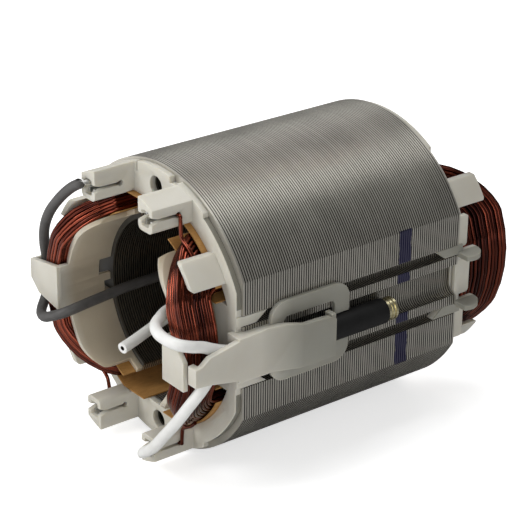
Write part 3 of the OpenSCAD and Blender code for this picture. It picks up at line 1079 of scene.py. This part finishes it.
@dataclass
class StrippedEnd:
    """The stripped end of a lead: twisted tinned strands that reach into the terminal."""

    name: str
    route: Route
    strands: int = 6
    strand: float = 0.2 * MM
    core_r: float = 0.24 * MM
    ring_r: float = 0.32 * MM
    twist: float = 0.55

    def dress(self, finishes: Finishes, slot: str) -> Piece:
        """Builds the strands and gives them their finish.

        Args:
            finishes: All materials.
            slot: The record's material slot.

        Returns:
            The piece.
        """
        line = self.route.line()
        pieces = [Bench.tube("strand", line, self.core_r, rounds=2)]
        for number in range(self.strands):
            points = []
            for index, spot in enumerate(line):
                ahead = line[min(index + 1, len(line) - 1)] - line[max(index - 1, 0)]
                turn = ahead.to_track_quat("Z", "Y")
                angle = 2 * math.pi * number / self.strands + self.twist * index
                points.append(spot + turn @ Vector((math.cos(angle), math.sin(angle), 0.0)) * self.ring_r)
            pieces.append(Bench.tube("strand", points, self.strand, rounds=2))
        for piece in pieces:
            Bench.to_mesh(piece)
        piece = Bench.join(pieces, self.name)
        Bench.finish(piece, finishes.tin, slot)
        return piece


@dataclass
class CutEnd:
    """The cut end of a lead: a ring of insulation round recessed strands."""

    diameter: float
    length: float
    end: Vector
    heading: Vector
    wall: float = 0.78 * MM
    lip: float = 0.12 * MM
    recess: float = 1.3 * MM
    slack: float = 0.01 * MM
    ring: int = 6

    def trim(self, line: list[Vector]) -> list[Vector]:
        """Shortens a line to where the cut end begins.

        Args:
            line: The lead's line.

        Returns:
            The shorter line.
        """
        line = list(line)
        while (line[-1] - self.end).length < self.length:
            line.pop()
        line.append(self.end - self.heading.normalized() * self.length)
        return line

    def dress(self, material: Material, finishes: Finishes, slot: str) -> Piece:
        """Builds the cut end and gives it its finish.

        Args:
            material: The insulation's material.
            finishes: All materials.
            slot: The record's material slot.

        Returns:
            The piece.
        """
        bpy.ops.object.select_all(action="DESELECT")
        bpy.ops.mesh.primitive_cylinder_add(
            vertices=28, radius=self.diameter / 2, depth=self.length, location=(0, 0, -self.length / 2)
        )
        shell = bpy.context.active_object
        bpy.ops.object.transform_apply(location=True)
        with Bench.editing(shell):
            bpy.ops.mesh.select_all(action="DESELECT")
        for face in shell.data.polygons:
            face.select = face.normal.z > 0.9
        bpy.ops.object.mode_set(mode="EDIT")
        bpy.ops.mesh.select_mode(type="FACE")
        bpy.ops.mesh.inset(thickness=self.lip)
        bpy.ops.mesh.inset(thickness=self.wall - self.lip)
        bpy.ops.mesh.extrude_region_move(TRANSFORM_OT_translate={"value": (0, 0, -self.recess)})
        bpy.ops.object.mode_set(mode="OBJECT")
        hole = self.diameter / 2 - self.wall
        pieces = [shell]
        turns = [2 * math.pi * number / self.ring for number in range(self.ring)]
        spots = [(0.0, 0.0)] + [(math.cos(turn), math.sin(turn)) for turn in turns]
        fine = hole / 3
        for x, y in spots:
            bpy.ops.mesh.primitive_uv_sphere_add(
                segments=10, ring_count=6, radius=fine, location=(2 * fine * x, 2 * fine * y, -self.recess)
            )
            bpy.ops.object.transform_apply(location=True)
            pieces.append(bpy.context.active_object)
        for piece in pieces:
            piece.data.materials.clear()
            for finish in (material, finishes.shaded_copper):
                piece.data.materials.append(finish)
            # Painted shade: the strands and the walls of the hole get the near-black copper.
            for face in piece.data.polygons:
                within = face.center.to_2d().length < hole + self.slack
                face.material_index = int(piece is not shell or within)
        tip = Bench.join(pieces, "supply_lead_cut_end")
        turn = self.heading.to_track_quat("Z", "Y").to_matrix().to_4x4()
        tip.data.transform(Matrix.Translation(self.end) @ turn)
        Bench.smooth(tip, angle=40.0)
        Bench.settle(tip, slot)
        return tip


@dataclass
class SlotPaper:
    """A slot paper, cut back where the end plate's rim covers its front edge, in millimetres."""

    node: str
    name: str
    across: int
    up: int
    covered_x: Span = (24.6, 32.0)
    covered_z: Span = (2.0, 18.6)
    front: Span = (-8.0, -0.1)

    def dress(self, finishes: Finishes) -> None:
        """Builds the paper and gives it its finish.

        Args:
            finishes: All materials.
        """
        piece = Bench.copy_node(self.node, self.name)
        x = tuple(self.across * edge for edge in self.covered_x)
        z = tuple(self.up * edge for edge in self.covered_z)
        Block(x, self.front, z).cut_from(piece)
        Bench.smooth(piece, angle=30.0)
        Bench.finish(piece, finishes.paper, "slot_paper", self.node)


@dataclass
class WireSleeve:
    """The black sleeving, cut back to show the brass beneath."""

    node: str
    name: str
    shown: Block
    edge: float = 0.2 * MM

    def dress(self, finishes: Finishes) -> None:
        """Builds the sleeve and gives it its finish.

        Args:
            finishes: All materials.
        """
        piece = Bench.copy_node(self.node, self.name)
        self.shown.cut_from(piece)
        Bench.apply(
            piece, "BEVEL", width=self.edge, segments=2, limit_method="ANGLE", angle_limit=math.radians(50)
        )
        Bench.smooth(piece, angle=32.0)
        Bench.finish(piece, finishes.black, "black_sleeving", self.node)


@dataclass
class CoilTail:
    """The end of a coil's wire, led through the slit of its pocket, its size in millimetres."""

    node: str
    name: str
    across: int
    up: int
    route: Route
    wire: float = 0.9

    def dress(self, finishes: Finishes) -> None:
        """Builds the tail and gives it its finish.

        Args:
            finishes: All materials.
        """
        line = [Vector((self.across * p.x, p.y, self.up * p.z)) for p in self.route.line()]
        piece = Bench.tube(self.name, line, self.wire / 2 * MM, rounds=3)
        Bench.to_mesh(piece)
        Bench.finish(piece, finishes.enamel, "enamelled_copper", self.node)


@dataclass
class CarriedPieces:
    """CAD nodes whose shape is right and that only need a finish."""

    groups: dict[str, list[str]]

    def dress(self, materials: dict[str, Material]) -> None:
        """Gives each node the finish of its group.

        Args:
            materials: The material of each group.
        """
        for slot, nodes in self.groups.items():
            for node in nodes:
                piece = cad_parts[node]
                piece.data.materials.clear()
                piece.data.materials.append(materials[slot])
                LOG.info("%s kept", node)


@dataclass(frozen=True)
class Lamp:
    """A soft square lamp that points at the object, in metres and watts."""

    name: str
    place: Spot
    size: float
    power: float
    aim: Spot = (0.0, 0.03, 0.0)

    def hang(self) -> None:
        """Puts the lamp in its place."""
        data = bpy.data.lights.new(self.name, "AREA")
        data.size = self.size
        data.energy = self.power
        piece = bpy.data.objects.new(self.name, data)
        piece.location = self.place
        toward = Vector(self.aim) - Vector(self.place)
        piece.rotation_euler = toward.to_track_quat("-Z", "Y").to_euler()
        bpy.context.scene.collection.objects.link(piece)


LAMPS = (
    Lamp("key", (-0.35, -0.75, 0.6), size=0.5, power=5.2),
    Lamp("front", (-0.2, -0.85, 0.12), size=0.4, power=1.0),
    Lamp("fill", (0.75, -0.5, 0.35), size=0.6, power=2.6),
    Lamp("top", (-0.1, 0.1, 0.95), size=0.5, power=3.9),
    Lamp("rim_shade", (0.02, 0.58, 0.82), size=0.3, power=0.65),
    Lamp("back", (-0.64, 0.5, 0.4), size=0.4, power=0.5),
)


@dataclass
class Studio:
    """The floor, the lamps and the camera, whose eye is given in millimetres and degrees."""

    eye: Spot = (341.70, -237.89, 204.25)
    azimuth: float = 51.944
    elevation: float = 24.985
    roll: float = -0.714
    focal_px: float = 2001.93
    sensor: float = 36.0
    clip: Span = (0.01, 20.0)
    floor_size: float = 6.0
    floor_gap: float = 0.4 * MM
    pale: Colour = (0.86, 0.86, 0.86)
    mirrored: Colour = (0.45, 0.45, 0.45)
    lift: float = 0.62
    card: float = 0.9
    card_y: Span = (-45 * MM, -75 * MM)
    glow: Span = (0.15, 1.0)
    white: tuple[float, float, float, float] = (1.0, 1.0, 1.0, 1.0)

    def camera(self) -> None:
        """Places the camera where the picture was taken from."""
        data = bpy.data.cameras.new("camera")
        data.sensor_width = self.sensor
        data.lens = self.focal_px / PICTURE_PX * self.sensor
        data.clip_start, data.clip_end = self.clip
        piece = bpy.data.objects.new("camera", data)
        a, e, r = (math.radians(value) for value in (self.azimuth, self.elevation, self.roll))
        ahead = Vector((-math.sin(a) * math.cos(e), math.cos(a) * math.cos(e), -math.sin(e)))
        right = ahead.cross(Vector((0, 0, 1))).normalized()
        down = ahead.cross(right)
        across = math.cos(r) * right + math.sin(r) * down
        up = math.sin(r) * right - math.cos(r) * down
        turn = Matrix((across, up, -ahead)).transposed().to_4x4()
        piece.matrix_world = Matrix.Translation(Vector(self.eye) * MM) @ turn
        bpy.context.scene.collection.objects.link(piece)
        bpy.context.scene.camera = piece

    def floor(self, height: float) -> None:
        """Lays a pale floor that metal mirrors as a bright card in front of the object.

        Args:
            height: Height of the floor, in metres.
        """
        bpy.ops.object.select_all(action="DESELECT")
        bpy.ops.mesh.primitive_plane_add(size=self.floor_size, location=(0.0, 0.0, height))
        floor = bpy.context.active_object
        floor.name = "floor"
        board = NodeBoard("pale_floor")
        rays = board.add("ShaderNodeLightPath")
        glossy = rays.outputs["Is Glossy Ray"]
        _, y, _ = board.axes
        shine = board.product(board.rise(y, self.card_y), glossy, self.card)
        seen = board.product(rays.outputs["Is Camera Ray"], self.lift)
        board.set(
            Base_Color=board.mix(glossy, (*self.pale, 1.0), (*self.mirrored, 1.0)),
            Roughness=0.9,
            Specular_IOR_Level=0.1,
            Emission_Color=self.white,
            Emission_Strength=board.math("ADD", seen, shine),
        )
        floor.data.materials.append(board.material)
        floor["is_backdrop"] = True

    def sky(self) -> None:
        """Fills the world with even light and a white backdrop."""
        world = bpy.data.worlds.new("studio")
        bpy.context.scene.world = world
        world.use_nodes = True
        tree = world.node_tree
        back = tree.nodes["Background"]
        rays = tree.nodes.new("ShaderNodeLightPath")
        seen = tree.nodes.new("ShaderNodeMath")
        seen.operation = "MAXIMUM"
        tree.links.new(rays.outputs["Is Camera Ray"], seen.inputs[0])
        tree.links.new(rays.outputs["Is Transmission Ray"], seen.inputs[1])
        level = tree.nodes.new("ShaderNodeMapRange")
        level.inputs["To Min"].default_value = self.glow[0]
        level.inputs["To Max"].default_value = self.glow[1]
        tree.links.new(seen.outputs[0], level.inputs["Value"])
        tree.links.new(level.outputs[0], back.inputs["Strength"])
        back.inputs["Color"].default_value = self.white

    def build(self, ground: float) -> None:
        """Sets up the whole studio.

        Args:
            ground: Height of the object's lowest point, in metres.
        """
        self.camera()
        self.sky()
        self.floor(ground - self.floor_gap)
        for lamp in LAMPS:
            lamp.hang()
        bpy.context.scene.view_settings.view_transform = "Standard"


# Routes of the leads and of the coil tails
GREY_ROUTE = Route([
    (-12.3, -13.8, 29.65), (-12.6, -13.9, 29.3), (-15.4, -13.8, 27.6), (-18.6, -13.7, 25.2),
    (-22.4, -13.6, 21.8), (-26.4, -13.5, 17.4), (-29.6, -13, 12.4), (-31.6, -12, 7.4),
    (-32.2, -11.2, 3), (-32.2, -11.2, -2.8), (-31.6, -12, -6.2), (-29.2, -15, -8.7),
    (-25.2, -16.8, -8.3), (-20.6, -17.4, -6.2), (-17, -15.6, -4.2), (-16.2, -11, -3.2),
    (-16.6, -4, -2.8), (-17.2, 4, -2.6), (-17.4, 24, -2.6), (-17.4, 66, -2.6),
])
GREY_STRIPPED = Route([
    (-11.3, -3.75, 29.85), (-11.4, -12.4, 29.85), (-12.3, -13.8, 29.65), (-12.6, -13.9, 29.3),
])
BRUSH_ROUTE = Route([
    (12.3, -14.3, -29.25), (12.6, -14.5, -28.6), (17, -15, -25.2), (21, -14.6, -20.4),
    (25.5, -14.2, -14.8), (29, -13.6, -9.8), (30.8, -11.4, -5.6), (30.4, -8, -2.8), (30.4, -4, -1.8),
    (30.4, 3, -1.8), (30.6, 7, -1.8), (31.6, 11, -2.3), (31.6, 13, -2.3),
])
BRUSH_STRIPPED = Route([
    (11.3, -3.75, -29.85), (11.4, -12.6, -29.85), (12.3, -14.3, -29.25), (12.6, -14.5, -28.6),
])
SUPPLY_ROUTE = Route([
    (31.6, 13, 0.8), (31.6, 11, 0.8), (30.6, 7, 1.4), (30.4, 3, 1.6), (30.4, -3, 1.6), (30.4, -7, 2.9),
    (30.4, -10.8, 4.7), (30.8, -14.2, 6), (29.6, -16.8, 6.8), (26.4, -17.5, 6.9), (22.8, -17.2, 7),
    (19.6, -15.6, 7.2), (17, -12.6, 7), (14.2, -9, 6.4), (11.5, -5.2, 5.2), (7.5, -0.5, 2.8),
    (2.5, 4, -0.8), (-2, 6.4, -4), (-4, 4.8, -6), (-3.4, 0, -7), (-1.8, -6, -7.8), (-0.6, -11, -8.4),
])
TAIL_ROUTE = Route([
    (9.85, -5.2, 28.7), (14.15, -5.2, 28.7), (14.85, -5.4, 27.7), (15.15, -5.5, 25.7),
    (15.75, -5.6, 23.9), (18.54, -5.6, 22.1), (20.4, -5.6, 20.4),
])
# Boxes that are cut from the mouldings and from the sleeve
FRONT_TRIMS = [
    Block((19.8, 28.0), (-20.0, -1.53), (-23.5, -14.2)),
    Block((-28.0, -22.9), (-1.7, 0.5), (-4.4, 4.2)),
]
REAR_TRIMS = [
    Block((across * 16.5, across * 25.0), (65.53, 84.0), (up * 21.4, up * 25.0))
    for across in (-1, 1) for up in (-1, 1)
]
SLEEVE_TRIM = Block((20.0, 45.0), (39.7, 50.0), (-10.0, 10.0))
GREY_LEAD = Lead(
    "grey_lead", "grey_field_lead", "grey_insulation", diameter=2.5, route=GREY_ROUTE,
    far_end="connector", partners=["grey_lead_terminal"], stripped=GREY_STRIPPED,
)
BRUSH_LEAD = Lead(
    "white_brush_lead", "white_brush_wire", "white_insulation", diameter=2.7, route=BRUSH_ROUTE,
    far_end="object", stripped=BRUSH_STRIPPED,
)
SUPPLY_LEAD = Lead(
    "white_supply_lead", "white_supply_wire", "white_insulation", diameter=2.7, route=SUPPLY_ROUTE,
    far_end="bare", bare=1.6,
)


def main() -> None:
    """Sets up the studio, then builds and dresses every piece."""
    logging.basicConfig(level=logging.INFO, format="%(message)s")
    cad_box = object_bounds()
    finishes = Finishes()
    Studio().build(cad_box[0][2])
    GREY_LEAD.dress(finishes.grey, finishes)
    BRUSH_LEAD.dress(finishes.white, finishes)
    SUPPLY_LEAD.dress(finishes.white, finishes)
    LaminatedCore().dress(finishes)
    MouldedFrame("front_end_frame", "front_frame_moulding", FRONT_TRIMS).dress(finishes)
    MouldedFrame("rear_end_frame", "rear_frame_moulding", REAR_TRIMS).dress(finishes)
    FieldCoil(Side.LEFT, "left_field_coil", "left_coil_winding", seed=3).dress(finishes)
    FieldCoil(Side.RIGHT, "right_field_coil", "right_coil_winding", seed=11).dress(finishes)
    terminals = []
    for up, level in ((1, "top"), (-1, "bottom")):
        for across, hand in ((-1, "left"), (1, "right")):
            corner = f"{level}_{hand}"
            CoilTail(
                f"coil_tail_{corner}", f"coil_tail_wire_{corner}", across, up, TAIL_ROUTE
            ).dress(finishes)
            SlotPaper(f"liner_{corner}", f"slot_paper_{corner}", across, up).dress(finishes)
            terminals.append(f"terminal_{corner}")
    WireSleeve("black_sleeve", "black_sleeve_tube", SLEEVE_TRIM).dress(finishes)
    terminals.append("grey_lead_terminal")
    carried = CarriedPieces({"tinned_brass": terminals, "bare_brass": ["brush_receptacle"]})
    carried.dress({"tinned_brass": finishes.tin, "bare_brass": finishes.brass})


if __name__ == "__main__":
    main()
